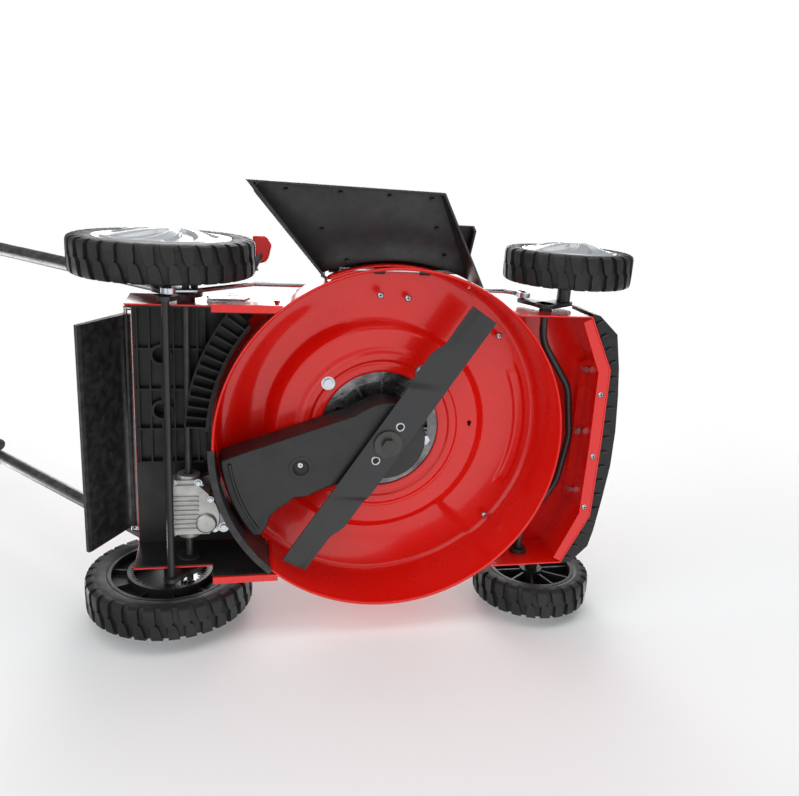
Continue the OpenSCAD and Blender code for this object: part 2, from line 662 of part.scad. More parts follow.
module rear_axle() color("#232427") {
    for (s = [-1, 1]) {
        translate([0, s > 0 ? arm_y + arm_t : -arm_y, 0]) rotate([90, 0, 0]) difference() {
            union() {
                bar(rear_pivot, [rear_x, rear_r], 22, 17, arm_t);
                bar(rear_pivot, tie, 22, 10, arm_t);
            }
            translate([rear_pivot[0], rear_pivot[1], -1]) cylinder(r = bush_r + run, h = arm_t + 2);
        }
        // wheel stud and nut
        pin_y(rear_x, rear_r, s * (arm_y + arm_t), s * (rear_face_y - 6), stud_r);
        pin_y(rear_x, rear_r, s * (arm_y + arm_t), s * (rear_in_y + 14.4), stud_r + 4);
        pin_y(rear_x, rear_r, s * (rear_face_y - 8.7), s * (rear_face_y - 2), stud_r + 4);
    }
    pin_y(tie[0], tie[1], -arm_y - 1, arm_y + 1, 5);
    // pin of the height link
    pin_y(link_rear[0], link_rear[1], -arm_y - arm_t, -214, link_pin_r);
}

// Point i of a path's edge, w to the left of its middle line
function left_of(p, q) = let (d = (q - p) / norm(q - p)) [-d[1], d[0]];
function edge_point(path, i, w) = let (
    last = len(path) - 1,
    a = left_of(path[max(i, 1) - 1], path[max(i, 1)]),
    b = left_of(path[min(i, last - 1)], path[min(i, last - 1) + 1])
) path[i] + w * (a + b) / (1 + a * b);

// Bow of the front axle ahead of its pivot line, as [run, place across], and how it rises
front_bow = [[0, -172], [0, -149], [53, -77], [67, 0], [53, 77], [0, 149], [0, 172]];
bow_rise = 7;
bow_r = shaft_r + 0.4;
module front_axle() color("#232427") {
    translate([front_pivot[0], 0, front_pivot[1]]) rotate([0, -bow_rise, 0]) translate([0, 0, -bow_r])
        linear_extrude(2 * bow_r) polygon(concat(
            [for (i = [0 : len(front_bow) - 1]) edge_point(front_bow, i, -bow_r)],
            [for (i = [len(front_bow) - 1 : -1 : 0]) edge_point(front_bow, i, bow_r)]));
    for (s = [-1, 1]) {
        pin_y(front_pivot[0], front_pivot[1], s * 168, s * (arm_y + 2), shaft_r);
        translate([0, s > 0 ? arm_y + arm_t : -arm_y, 0]) rotate([90, 0, 0])
            bar(front_pivot, [front_x, front_r], 15, 14, arm_t);
        pin_y(front_x, front_r, s * (arm_y + 1), s * (front_face_y - 6), stud_r);
        pin_y(front_x, front_r, s * (arm_y + 1), s * (front_in_y + 5.4), stud_r + 4);
        pin_y(front_x, front_r, s * (front_face_y - 8.7), s * (front_face_y - 2), stud_r + 4);
    }
    // arm and pin of the height link
    translate([0, -arm_y, 0]) rotate([90, 0, 0]) bar(front_pivot, link_front, 14, 8, arm_t);
    pin_y(link_front[0], link_front[1], -arm_y - 1, -214, link_pin_r);
}

link_route = [[link_rear[0] + 8, 56], [-262, 60], [-185, 130], [184, 130],
    [link_front[0] - 9, link_front[1] + 9]];
module link_rod() color(zinc) {
    bent_rod([for (p = link_route) [p[0], link_y, p[1]]], 3);
    // eye on the rear arm's pin
    difference() {
        pin_y(link_rear[0], link_rear[1], link_y - 3.6, link_y + 3.6, 10);
        pin_y(link_rear[0], link_rear[1], link_y - 5, link_y + 5, link_pin_r + run);
    }
    // slotted eye round the front arm's pin
    translate([link_front[0], link_y + 3.6, link_front[1]]) rotate([90, 0, 0]) difference() {
        bar([0, -4], [0, 12], 9, 9.5, 7.2);
        translate([0, 0, -1]) bar([0, -4], [0, 12], 5, 5.4, 10);
    }
}

module height_lever() color("#232427") {
    base = rear_pivot + 19 * lever_dir;
    translate([0, -214.2, 0]) rotate([90, 0, 0]) bar(base, lever_top, 11, 8, 3);
    // spacer between the arm plate and the lever
    pin_y(base[0], base[1], -(arm_y + arm_t), -215, 5);
    rod(xz(lever_top, -216.5), knob_seat, 5);
}

module height_knob() color(red) difference() {
    translate([knob_seat[0], knob_seat[1] + 24, knob_seat[2] + 4]) rotate([90, 0, 0]) cylinder(r = 11, h = 44);
    // socket for the lever's rod
    rod(xz(lever_top, -216.5), knob_seat, 5 + run);
    translate(knob_seat) sphere(r = 5 + 4 * run);
}

// ---------- wheels ----------

module tyre(r, w, r_in) color(black) rotate_extrude($fn = 96) polygon([
    [r_in, 3], [r_in + 3, 1], [r - 14, 0], [r - 4, 1.5], [r - 1, 4], [r, 8], [r, w - 8], [r - 1, w - 4],
    [r - 4, w - 1.5], [r - 14, w], [r_in + 3, w - 1], [r_in, w - 3]
]);

module rim(r_in, w, web_z, hub_r, geared) color(black) {
    rotate_extrude() polygon([[r_in - 5, 2], [r_in - 0.3, 2], [r_in - 0.3, w - 4], [r_in - 5, w - 4]]);
    rotate_extrude() polygon([[stud_r + run, web_z], [r_in - 4, web_z], [r_in - 4, web_z + 4], [stud_r + run, web_z + 4]]);
    rotate_extrude() polygon([[stud_r + run, web_z], [hub_r, web_z], [hub_r, w - 9], [stud_r + run, w - 9]]);
    if (!geared) rotate_extrude() polygon([[stud_r + run, 6], [hub_r, 6], [hub_r, web_z + 1], [stud_r + run, web_z + 1]]);
    inner = geared ? ring_pitch + 8 : hub_r;
    for (a = [0 : 36 : 324]) rotate(a) translate([inner - 1, -1.5, 8]) cube([r_in - 3 - inner, 3, web_z - 6]);
    if (geared) translate([0, 0, 1]) linear_extrude(web_z) difference() {
        circle(r = ring_pitch + 8);
        polygon(tooth_ring(ring_n, ring_pitch + 2.6, ring_pitch - 1.3, 0.62, 0.32));
    }
}

module cap(r_in, w) color(alloy) rotate_extrude($fn = 96) polygon([
    [0, w - 1.5], [12, w - 1.8], [12, w - 1.9], [r_in - 8, w - 3.7], [r_in - 0.4, w - 3.7], [r_in - 1, w - 1],
    [r_in * 0.75, w + cap_bulge * 0.45], [r_in * 0.45, w + cap_bulge * 0.85], [20, w + cap_bulge],
    [0, w + cap_bulge]
]);

front_in_r = 68;
rear_in_r = 90;
front_web = 20;
rear_web = 15.4;
// A ring tooth gap faces the pinion's tooth
ring_turn = -45;

module front_wheel_piece(s, kind) at_wheel(front_x, front_r, front_in_y, s) {
    if (kind == "tyre") tyre(front_r, front_w, front_in_r);
    if (kind == "rim") rim(front_in_r, front_w, front_web, 18, false);
    if (kind == "cap") cap(front_in_r, front_w);
}
module rear_wheel_piece(s, kind) at_wheel(rear_x, rear_r, rear_in_y, s) {
    if (kind == "tyre") tyre(rear_r, rear_w, rear_in_r);
    if (kind == "rim") rotate(s * -ring_turn + 180 / ring_n) rim(rear_in_r, rear_w, rear_web, 20, true);
    if (kind == "cap") cap(rear_in_r, rear_w);
}
module front_left_tyre() front_wheel_piece(1, "tyre");
module front_left_rim() front_wheel_piece(1, "rim");
module front_left_cap() front_wheel_piece(1, "cap");
module front_right_tyre() front_wheel_piece(-1, "tyre");
module front_right_rim() front_wheel_piece(-1, "rim");
module front_right_cap() front_wheel_piece(-1, "cap");
module rear_left_tyre() rear_wheel_piece(1, "tyre");
module rear_left_rim() rear_wheel_piece(1, "rim");
module rear_left_cap() rear_wheel_piece(1, "cap");
module rear_right_tyre() rear_wheel_piece(-1, "tyre");
module rear_right_rim() rear_wheel_piece(-1, "rim");
module rear_right_cap() rear_wheel_piece(-1, "cap");

// ---------- discharge chute and flaps ----------

chute_outline = [[-94, -226], [-201, -352], [55, -349], [120, -224]];
chute_inner = [[-90, -226], [-193, -349.4], [53, -346.4], [117, -224]];
// The chute's roof falls outwards from its root
chute_root_z = 104;
chute_fall = 22;
module below_roof(drop) {
    translate([-300, -228, chute_root_z - drop]) rotate([chute_fall, 0, 0]) translate([0, -300, -200]) cube([600, 340, 200]);
}
module side_chute() color(black) difference() {
    intersection() {
        translate([0, 0, 36]) linear_extrude(80) polygon(chute_outline);
        below_roof(0);
    }
    intersection() {
        translate([0, 0, 30]) linear_extrude(80) polygon(chute_inner);
        below_roof(2.6);
    }
    translate([rim_c[0], rim_c[1], 0]) cylinder(r = rim_r + 0.6, h = 200, $fn = 128);
}

// The flap is held up on the chute; drawn hanging from its hinge and turned up
flap_up = 64;
module side_flap() color(black) translate([0, flap_hinge[0], flap_hinge[1]]) rotate([-flap_up, 0, 0]) difference() {
    union() {
        translate([flap_x0 + 12, -5.5, -74]) cube([flap_x1 - flap_x0 - 24, 3, 74]);
        for (x = [flap_x0 + 12, flap_x1 - 15]) translate([x, -5.5, -74]) cube([3, 14, 66]);
        for (x = [flap_x0 + 12 : 66 : flap_x1 - 26]) translate([x, 0, 0]) rotate([0, 90, 0]) cylinder(r = 6, h = 14);
    }
    translate([flap_x0 - 10, 0, 0]) rotate([0, 90, 0]) cylinder(r = 3 + run, h = 300);
}

module rear_flap() color(black) difference() {
    union() {
        plate_y([[rear_end_x - 10, rear_top_z + 14], [rear_end_x - 14, rear_top_z + 12], [-414, 66], [-410, 62],
            [-406, 66], [rear_end_x - 8, rear_top_z + 2]], -160, 160);
        pin_y(rear_end_x - 8, rear_top_z + 8, -160, 160, 7);
    }
    pin_y(rear_end_x - 8, rear_top_z + 8, -200, 200, 3 + run);
}

// ---------- handle ----------

function xz(p, y) = [p[0], y, p[1]];

module lower_handle() color("#1d1e20") for (s = [-1, 1]) difference() {
    rod(xz(grip_pivot, s * lower_y), xz(joint_p, s * lower_y), tube_r);
    pin_y(grip_pivot[0], grip_pivot[1], s * 185, s * 215, 5 + run);
    pin_y(joint_p[0], joint_p[1], s * 185, s * 215, 4 + run);
}

module handle_knobs() color(black) for (s = [-1, 1]) {
    // bolts through the brackets and through the joint of the tubes
    pin_y(grip_pivot[0], grip_pivot[1], s * 178, s * 212, 5);
    pin_y(grip_pivot[0], grip_pivot[1], s * 176, s * 180.8, 9);
}

module upper_handle() color("#1d1e20") {
    start = joint_p - 40 * handle_dir;
    difference() {
        for (s = [-1, 1]) rod(xz(start, s * upper_y), xz(bend_p, s * upper_y), tube_r);
        for (s = [-1, 1]) pin_y(joint_p[0], joint_p[1], s * 150, s * 187, 4.2);
    }
    // flatter part with a two-step corner to the cross bar
    corner = 50;
    near = end_p - corner * grip_dir;
    mid = end_p - 0.28 * corner * grip_dir;
    mid_y = upper_y - 0.28 * corner;
    bent_rod([xz(bend_p, -upper_y), xz(near, -upper_y), xz(mid, -mid_y), xz(end_p, -upper_y + corner),
        xz(end_p, upper_y - corner), xz(mid, mid_y), xz(near, upper_y), xz(bend_p, upper_y)], tube_r);
    for (s = [-1, 1]) translate(xz(bend_p, s * upper_y)) sphere(r = tube_r * 1.05, $fn = 48);
    // bolt and clamp knob of the joint
    for (s = [-1, 1]) {
        pin_y(joint_p[0], joint_p[1], s * (upper_y - 14), s * (lower_y + 14), 4);
        pin_y(joint_p[0], joint_p[1], s * (lower_y + tube_r + 1.5), s * (lower_y + tube_r + 20), 16);
    }
}

// Arms from pegs beside the tubes to a cross bar along the handle's own
module bail(pivot, lift, reach) {
    dir = [-cos(grip_up + lift), sin(grip_up + lift)];
    tip = pivot + reach * dir;
    y = upper_y - 22;
    bent_rod([xz(pivot, -y), xz(tip, -y), xz(tip, y), xz(pivot, y)], 4);
    for (s = [-1, 1]) pin_y(pivot[0], pivot[1], s * (y - 6), s * (upper_y - tube_r - 0.4), 5);
}
module brake_bail() color(black) bail(brake_pivot, 32, 168);
module drive_bail() color(black) bail(drive_pivot, -36, 150);

deck_chamber();
front_apron();
rear_deck();
front_bumper();
deck_screws();
rear_tunnel();
skirt_insert();
belt_cover();
gearbox_housing();
hinge_rods();
axle_bushes();
height_quadrant();
handle_brackets();
engine_block();
engine_shroud();
fuel_tank();
muffler();
air_filter_base();
carburettor();
spark_plug();
piston_and_rod();
engine_bolts();
drive_belt();
crankshaft();
flywheel();
blade_adapter();
blade();
blade_bolt();
gearbox_pulley();
drive_shaft();
drive_pinions();
rear_axle();
front_axle();
front_left_tyre();
front_left_rim();
front_left_cap();
front_right_tyre();
front_right_rim();
front_right_cap();
rear_left_tyre();
rear_left_rim();
rear_left_cap();
rear_right_tyre();
rear_right_rim();
rear_right_cap();
height_lever();
height_knob();
link_rod();
side_flap();
side_chute();
rear_flap();
lower_handle();
handle_knobs();
upper_handle();
brake_bail();
drive_bail();
fuel_cap();
oil_cap();
starter_grip();
air_filter_cover();
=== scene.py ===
# Looks of a self-propelled petrol lawn mower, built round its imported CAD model. Metres, ground at
# z = 0, crankshaft axis on the Z axis, +X to the front, +Y to the mower's left.
import json
import math

import bpy
import numpy as np
from mathutils import Matrix, Vector


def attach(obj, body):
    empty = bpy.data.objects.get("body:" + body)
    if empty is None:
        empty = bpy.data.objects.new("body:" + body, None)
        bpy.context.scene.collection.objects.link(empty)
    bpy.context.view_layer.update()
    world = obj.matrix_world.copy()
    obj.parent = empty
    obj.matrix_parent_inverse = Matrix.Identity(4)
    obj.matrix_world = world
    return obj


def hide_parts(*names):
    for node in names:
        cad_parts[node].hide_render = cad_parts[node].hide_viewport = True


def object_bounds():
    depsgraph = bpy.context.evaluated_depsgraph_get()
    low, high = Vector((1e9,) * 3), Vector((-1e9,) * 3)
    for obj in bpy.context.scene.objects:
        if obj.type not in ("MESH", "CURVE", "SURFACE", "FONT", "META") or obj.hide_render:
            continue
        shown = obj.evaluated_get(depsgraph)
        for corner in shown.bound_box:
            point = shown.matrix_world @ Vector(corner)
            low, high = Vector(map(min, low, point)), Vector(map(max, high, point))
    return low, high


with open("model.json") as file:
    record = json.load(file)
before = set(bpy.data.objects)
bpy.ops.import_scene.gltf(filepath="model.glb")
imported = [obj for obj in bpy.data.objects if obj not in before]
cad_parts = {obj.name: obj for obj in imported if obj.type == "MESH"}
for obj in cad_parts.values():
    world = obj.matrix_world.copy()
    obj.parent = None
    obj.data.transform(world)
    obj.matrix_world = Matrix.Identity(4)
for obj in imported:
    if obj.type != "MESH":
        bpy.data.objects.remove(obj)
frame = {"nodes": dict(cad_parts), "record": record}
cad_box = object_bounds()
nodes = frame["nodes"]
MM = 0.001
TAU = 2 * math.pi


# ---------- camera, backdrop and lights ----------

def make_camera():
    """The mower lies on its left side before the camera, which looks in from under it."""
    data = bpy.data.cameras.new("camera")
    data.sensor_width = 36
    data.lens = 35.25
    data.clip_end = 50
    camera = bpy.data.objects.new("camera", data)
    bpy.context.collection.objects.link(camera)
    place = Matrix(((0.9753, 0.0026, -0.2207, -0.2293), (-0.0617, -0.9568, -0.2840, -0.3793),
                    (-0.2120, 0.2906, -0.9331, -0.9778), (0, 0, 0, 1)))
    camera.matrix_world = place
    bpy.context.scene.camera = camera


def area_light(name, place, target, size, power, colour=(1, 1, 1)):
    data = bpy.data.lights.new(name, "AREA")
    data.shape = "RECTANGLE"
    data.size, data.size_y = size
    data.energy = power
    data.color = colour
    light = bpy.data.objects.new(name, data)
    bpy.context.collection.objects.link(light)
    light.location = place
    light.rotation_euler = (Vector(target) - Vector(place)).to_track_quat("-Z", "Y").to_euler()
    light.visible_camera = False
    return light


def make_lights():
    # in front of the open underside: a wide panel, a softer one from the upper left, a rim light
    area_light("panel_front", (0.75, 0.62, -1.5), (0.05, 0.0, 0.1), (3.2, 2.8), 26)
    area_light("panel_left", (-1.3, -0.9, -1.2), (0.0, 0.0, 0.1), (2.4, 2.4), 22)
    area_light("panel_side", (0.2, -1.9, 0.1), (0.0, 0.0, 0.1), (3.2, 1.8), 22)
    # over the mower as it stands, for the views from above
    area_light("roof", (0.2, -0.4, 2.4), (-0.2, 0.0, 0.3), (2.0, 2.0), 55)
    area_light("roof_rear", (-2.2, 0.9, 1.8), (-0.3, 0.0, 0.4), (1.2, 1.2), 30)
    area_light("roof_front", (2.0, 0.9, 1.2), (0.0, 0.0, 0.2), (1.2, 1.2), 22)


def make_world():
    world = bpy.data.worlds.new("studio")
    bpy.context.scene.world = world
    world.use_nodes = True
    tree = world.node_tree
    tree.nodes.clear()
    out = tree.nodes.new("ShaderNodeOutputWorld")
    mix = tree.nodes.new("ShaderNodeMixShader")
    seen = tree.nodes.new("ShaderNodeBackground")
    glow = tree.nodes.new("ShaderNodeBackground")
    path = tree.nodes.new("ShaderNodeLightPath")
    seen.inputs["Color"].default_value = (1, 1, 1, 1)
    seen.inputs["Strength"].default_value = 1.0
    glow.inputs["Color"].default_value = (0.96, 0.98, 1, 1)
    glow.inputs["Strength"].default_value = 0.36
    tree.links.new(path.outputs["Is Camera Ray"], mix.inputs["Fac"])
    tree.links.new(glow.outputs[0], mix.inputs[1])
    tree.links.new(seen.outputs[0], mix.inputs[2])
    tree.links.new(mix.outputs[0], out.inputs["Surface"])
    bpy.context.scene.view_settings.view_transform = "Standard"


def stage_material(name, fade_from, fade_to, colour):
    """Pale matt surface, seen from its front only, that fades into the white surroundings."""
    mat = bpy.data.materials.new(name)
    mat.use_nodes = True
    tree = mat.node_tree
    shader = tree.nodes["Principled BSDF"]
    out = tree.nodes["Material Output"]
    shader.inputs["Base Color"].default_value = (*colour, 1)
    shader.inputs["Roughness"].default_value = 0.9
    shader.inputs["Specular IOR Level"].default_value = 0.1
    clear = tree.nodes.new("ShaderNodeBsdfTransparent")
    mix = tree.nodes.new("ShaderNodeMixShader")
    facts = tree.nodes.new("ShaderNodeNewGeometry")
    away = tree.nodes.new("ShaderNodeVectorMath")
    away.operation = "LENGTH"
    fade = tree.nodes.new("ShaderNodeMapRange")
    fade.interpolation_type = "SMOOTHSTEP"
    fade.inputs["From Min"].default_value = fade_from
    fade.inputs["From Max"].default_value = fade_to
    hide = tree.nodes.new("ShaderNodeMath")
    hide.operation = "MAXIMUM"
    tree.links.new(facts.outputs["Position"], away.inputs[0])
    tree.links.new(away.outputs["Value"], fade.inputs["Value"])
    tree.links.new(fade.outputs["Result"], hide.inputs[0])
    tree.links.new(facts.outputs["Backfacing"], hide.inputs[1])
    tree.links.new(hide.outputs[0], mix.inputs["Fac"])
    tree.links.new(shader.outputs[0], mix.inputs[1])
    tree.links.new(clear.outputs[0], mix.inputs[2])
    tree.links.new(mix.outputs[0], out.inputs["Surface"])
    return mat


def stage_plane(name, corners, material):
    mesh = bpy.data.meshes.new(name)
    mesh.from_pydata(corners, [], [(0, 1, 2, 3)])
    plane = bpy.data.objects.new(name, mesh)
    bpy.context.collection.objects.link(plane)
    mesh.materials.append(material)
    plane.visible_shadow = False
    plane.visible_diffuse = False
    plane.visible_glossy = False


def make_stage():
    far = 3.0
    side = cad_box[1][1] + 0.004
    stage_plane("floor", [(-far, -far, 0), (far, -far, 0), (far, far, 0), (-far, far, 0)],
                stage_material("floor", 1.4, 2.9, (0.93, 0.93, 0.93)))
    stage_plane("backdrop", [(-far, side, -far), (far, side, -far), (far, side, far), (-far, side, far)],
                stage_material("backdrop", 0.75, 1.7, (0.93, 0.93, 0.93)))


# ---------- materials ----------

def link(tree, a, b):
    tree.links.new(a, b)


def noise(tree, scale, detail=3.0, stretch=None):
    where = tree.nodes.new("ShaderNodeTexCoord")
    place = tree.nodes.new("ShaderNodeMapping")
    place.inputs["Scale"].default_value = stretch or (1, 1, 1)
    tex = tree.nodes.new("ShaderNodeTexNoise")
    tex.inputs["Scale"].default_value = scale
    tex.inputs["Detail"].default_value = detail
    link(tree, where.outputs["Object"], place.inputs["Vector"])
    link(tree, place.outputs["Vector"], tex.inputs["Vector"])
    return tex.outputs["Fac"]


def spread(tree, value, low, high, start=0.3, end=0.7):
    node = tree.nodes.new("ShaderNodeMapRange")
    node.inputs["From Min"].default_value = start
    node.inputs["From Max"].default_value = end
    node.inputs["To Min"].default_value = low
    node.inputs["To Max"].default_value = high
    link(tree, value, node.inputs["Value"])
    return node.outputs["Result"]


def mix_colour(tree, fac, a, b):
    node = tree.nodes.new("ShaderNodeMix")
    node.data_type = "RGBA"
    link(tree, fac, node.inputs["Factor"])
    for socket, value in ((node.inputs["A"], a), (node.inputs["B"], b)):
        if isinstance(value, tuple):
            socket.default_value = (*value, 1)
        else:
            link(tree, value, socket)
    return node.outputs["Result"]


def edges(tree, low=0.52, high=0.62):
    """1 along outward edges, 0 elsewhere."""
    facts = tree.nodes.new("ShaderNodeNewGeometry")
    return spread(tree, facts.outputs["Pointiness"], 0, 1, low, high)


def surface(name, colour, vary=0.12, rough=(0.35, 0.5), metal=0.0, grain=900.0, bump=0.08, depth=0.0002,
            coat=0.0, coat_rough=0.05, wear=None, cloud=14.0, stretch=None, specular=0.5):
    """A procedural surface: clouded colour, uneven gloss, a fine grain and worn edges."""
    mat = bpy.data.materials.new(name)
    mat.use_nodes = True
    tree = mat.node_tree
    shader = tree.nodes["Principled BSDF"]
    dark = tuple(c * (1 - vary) for c in colour)
    light = tuple(min(1, c * (1 + vary)) for c in colour)
    shade = mix_colour(tree, spread(tree, noise(tree, cloud), 0, 1), dark, light)
    if wear:
        patchy = tree.nodes.new("ShaderNodeMath")
        patchy.operation = "MULTIPLY"
        link(tree, edges(tree), patchy.inputs[0])
        link(tree, spread(tree, noise(tree, 90), 0, 1, 0.4, 0.65), patchy.inputs[1])
        shade = mix_colour(tree, patchy.outputs[0], shade, wear)
    link(tree, shade, shader.inputs["Base Color"])
    link(tree, spread(tree, noise(tree, cloud * 2.3), *rough), shader.inputs["Roughness"])
    shader.inputs["Metallic"].default_value = metal
    shader.inputs["Coat Weight"].default_value = coat
    shader.inputs["Coat Roughness"].default_value = coat_rough
    shader.inputs["Specular IOR Level"].default_value = specular
    relief = tree.nodes.new("ShaderNodeBump")
    relief.inputs["Strength"].default_value = bump
    relief.inputs["Distance"].default_value = depth
    link(tree, noise(tree, grain, 2.0, stretch), relief.inputs["Height"])
    link(tree, relief.outputs["Normal"], shader.inputs["Normal"])
    return mat


def make_materials():
    return {
        "red_paint": surface("red_paint", (0.72, 0.006, 0.002), 0.05, (0.24, 0.32), 0, 260, 0.05, 0.0002,
                             coat=0.4, coat_rough=0.08, specular=0.35, wear=(0.74, 0.012, 0.006), cloud=6),
        "black_plastic": surface("black_plastic", (0.0095, 0.0095, 0.010), 0.1, (0.36, 0.52), 0, 1500, 0.25,
                                 0.00015, wear=(0.03, 0.03, 0.031)),
        "black_metal": surface("black_metal", (0.012, 0.012, 0.013), 0.2, (0.3, 0.42), 0, 700, 0.12, 0.0002,
                               wear=(0.06, 0.06, 0.06)),
        "zinc": surface("zinc", (0.5, 0.53, 0.56), 0.14, (0.2, 0.34), 1, 500, 0.12, 0.0001, cloud=60),
        "cast_alloy": surface("cast_alloy", (0.44, 0.435, 0.42), 0.2, (0.38, 0.55), 0.85, 420, 0.35, 0.0004,
                              wear=(0.66, 0.66, 0.65), cloud=24),
        "tyre_rubber": surface("tyre_rubber", (0.012, 0.012, 0.012), 0.15, (0.5, 0.66), 0, 420, 0.3, 0.0003,
                               wear=(0.035, 0.035, 0.034), cloud=30, specular=0.4),
        "cap_silver": surface("cap_silver", (0.50, 0.515, 0.53), 0.05, (0.26, 0.36), 0.45, 900, 0.05, 0.0001,
                              coat=0.3),
        "blade_steel": surface("blade_steel", (0.026, 0.0265, 0.028), 0.07, (0.34, 0.46), 0.2, 340, 0.16,
                               0.0002, wear=(0.12, 0.12, 0.125), cloud=12),
        "shaft_steel": surface("shaft_steel", (0.06, 0.059, 0.057), 0.2, (0.3, 0.44), 0.6, 300, 0.2, 0.0002,
                               cloud=40),
        "belt_rubber": surface("belt_rubber", (0.012, 0.012, 0.012), 0.2, (0.6, 0.75), 0, 800, 0.4, 0.0003),
        "red_plastic": surface("red_plastic", (0.62, 0.012, 0.008), 0.06, (0.32, 0.42), 0, 1200, 0.12, 0.0001,
                               coat=0.2),
        "shroud_plastic": surface("shroud_plastic", (0.02, 0.02, 0.021), 0.15, (0.28, 0.4), 0, 1200, 0.14,
                                  0.0001, coat=0.15, wear=(0.05, 0.05, 0.05)),
        "exhaust_steel": surface("exhaust_steel", (0.36, 0.33, 0.30), 0.3, (0.4, 0.6), 0.8, 300, 0.2, 0.0003,
                                 cloud=30),
        "handle_coat": surface("handle_coat", (0.016, 0.016, 0.017), 0.12, (0.28, 0.4), 0, 600, 0.1, 0.0002,
                               wear=(0.06, 0.06, 0.06)),
        "bumper_black": surface("bumper_black", (0.0035, 0.0035, 0.0037), 0.2, (0.3, 0.44), 0, 1400, 0.2,
                                0.0001, wear=(0.012, 0.012, 0.012), specular=0.35),
        "sump_metal": surface("sump_metal", (0.15, 0.15, 0.155), 0.6, (0.16, 0.34), 0.9, 60, 0.5, 0.002,
                              cloud=30),
        "foam_grip": surface("foam_grip", (0.014, 0.014, 0.014), 0.2, (0.75, 0.9), 0, 900, 0.5, 0.0005),
    }


make_camera()
make_world()
make_lights()
make_stage()
materials = make_materials()


# ---------- mesh helpers ----------

# nodes whose look differs from their slot's
FINISH = {"blade_bolt": "shaft_steel", "front_bumper": "bumper_black", "engine_block": "sump_metal",
          "rear_tunnel": "bumper_black"}


def dress_cad():
    """Gives every CAD node its slot's material and softened edges."""
    slot_of = {s["node"]: s["material_slot"] for s in frame["record"]["subparts"]}
    for name, node in nodes.items():
        mesh = node.data
        mesh.materials.clear()
        mesh.materials.append(materials[FINISH.get(name, slot_of[name])])
        edge = node.modifiers.new("soft_edges", "BEVEL")
        edge.width = 0.0006
        edge.segments = 2
        edge.limit_method = "ANGLE"
        edge.angle_limit = math.radians(35)
        edge.harden_normals = True


def piece(name, verts, faces, material, body, replaces=(), slot=None, smooth=True, bevel=0.0, thick=0.0,
          angle=35):
    """A mesh piece that rides on a body; verts are in millimetres."""
    mesh = bpy.data.meshes.new(name)
    mesh.from_pydata([tuple(c * MM for c in v) for v in verts], [], faces)
    mesh.validate()
    mesh.update()
    obj = bpy.data.objects.new(name, mesh)
    bpy.context.collection.objects.link(obj)
    mesh.materials.append(materials[material])
    if thick:
        wall = obj.modifiers.new("thickness", "SOLIDIFY")
        wall.thickness = abs(thick) * MM
        wall.offset = 1 if thick > 0 else -1
        wall.use_even_offset = True
    if bevel:
        edge = obj.modifiers.new("soft_edges", "BEVEL")
        edge.width = bevel * MM
        edge.segments = 3
        edge.limit_method = "ANGLE"
        edge.angle_limit = math.radians(angle)
        edge.harden_normals = True
    if smooth:
        mesh.polygons.foreach_set("use_smooth", [True] * len(mesh.polygons))
    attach(obj, body)
    if replaces:
        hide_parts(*replaces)
    return obj


def grid(fn, us, vs, close_u=False):
    """Vertices and quads of the surface fn(u, v) over two lists of parameters."""
    verts = [fn(u, v) for u in us for v in vs]
    n, m = len(us), len(vs)
    rows = n if close_u else n - 1
    faces = [(i * m + j, i * m + j + 1, ((i + 1) % n) * m + j + 1, ((i + 1) % n) * m + j)
             for i in range(rows) for j in range(m - 1)]
    return verts, faces


def ramp(x, a, b):
    """0 below a, 1 above b, smooth between."""
    t = min(1.0, max(0.0, (x - a) / (b - a)))
    return t * t * (3 - 2 * t)


def turned(points, angle):
    c, s = math.cos(angle), math.sin(angle)
    return [(c * x - s * y, s * x + c * y) for x, y in points]


def prism(outline, z0, z1):
    """A closed block over an outline."""
    n = len(outline)
    verts = [(x, y, z0) for x, y in outline] + [(x, y, z1) for x, y in outline]
    faces = [tuple(range(n))[::-1], tuple(range(n, 2 * n))]
    faces += [(i, (i + 1) % n, n + (i + 1) % n, n + i) for i in range(n)]
    return verts, faces


def join(*shapes):
    verts, faces = [], []
    for v, f in shapes:
        base = len(verts)
        verts += v
        faces += [tuple(i + base for i in face) for face in f]
    return verts, faces


def lathe(profile, steps=64, centre=(0, 0)):
    """A closed ring of revolution about Z, from a closed profile of (r, z)."""
    n = len(profile)
    verts = [(centre[0] + r * math.cos(TAU * i / steps), centre[1] + r * math.sin(TAU * i / steps), z)
             for i in range(steps) for r, z in profile]
    faces = [(i * n + j, ((i + 1) % steps) * n + j, ((i + 1) % steps) * n + (j + 1) % n, i * n + (j + 1) % n)
             for i in range(steps) for j in range(n)]
    return verts, faces


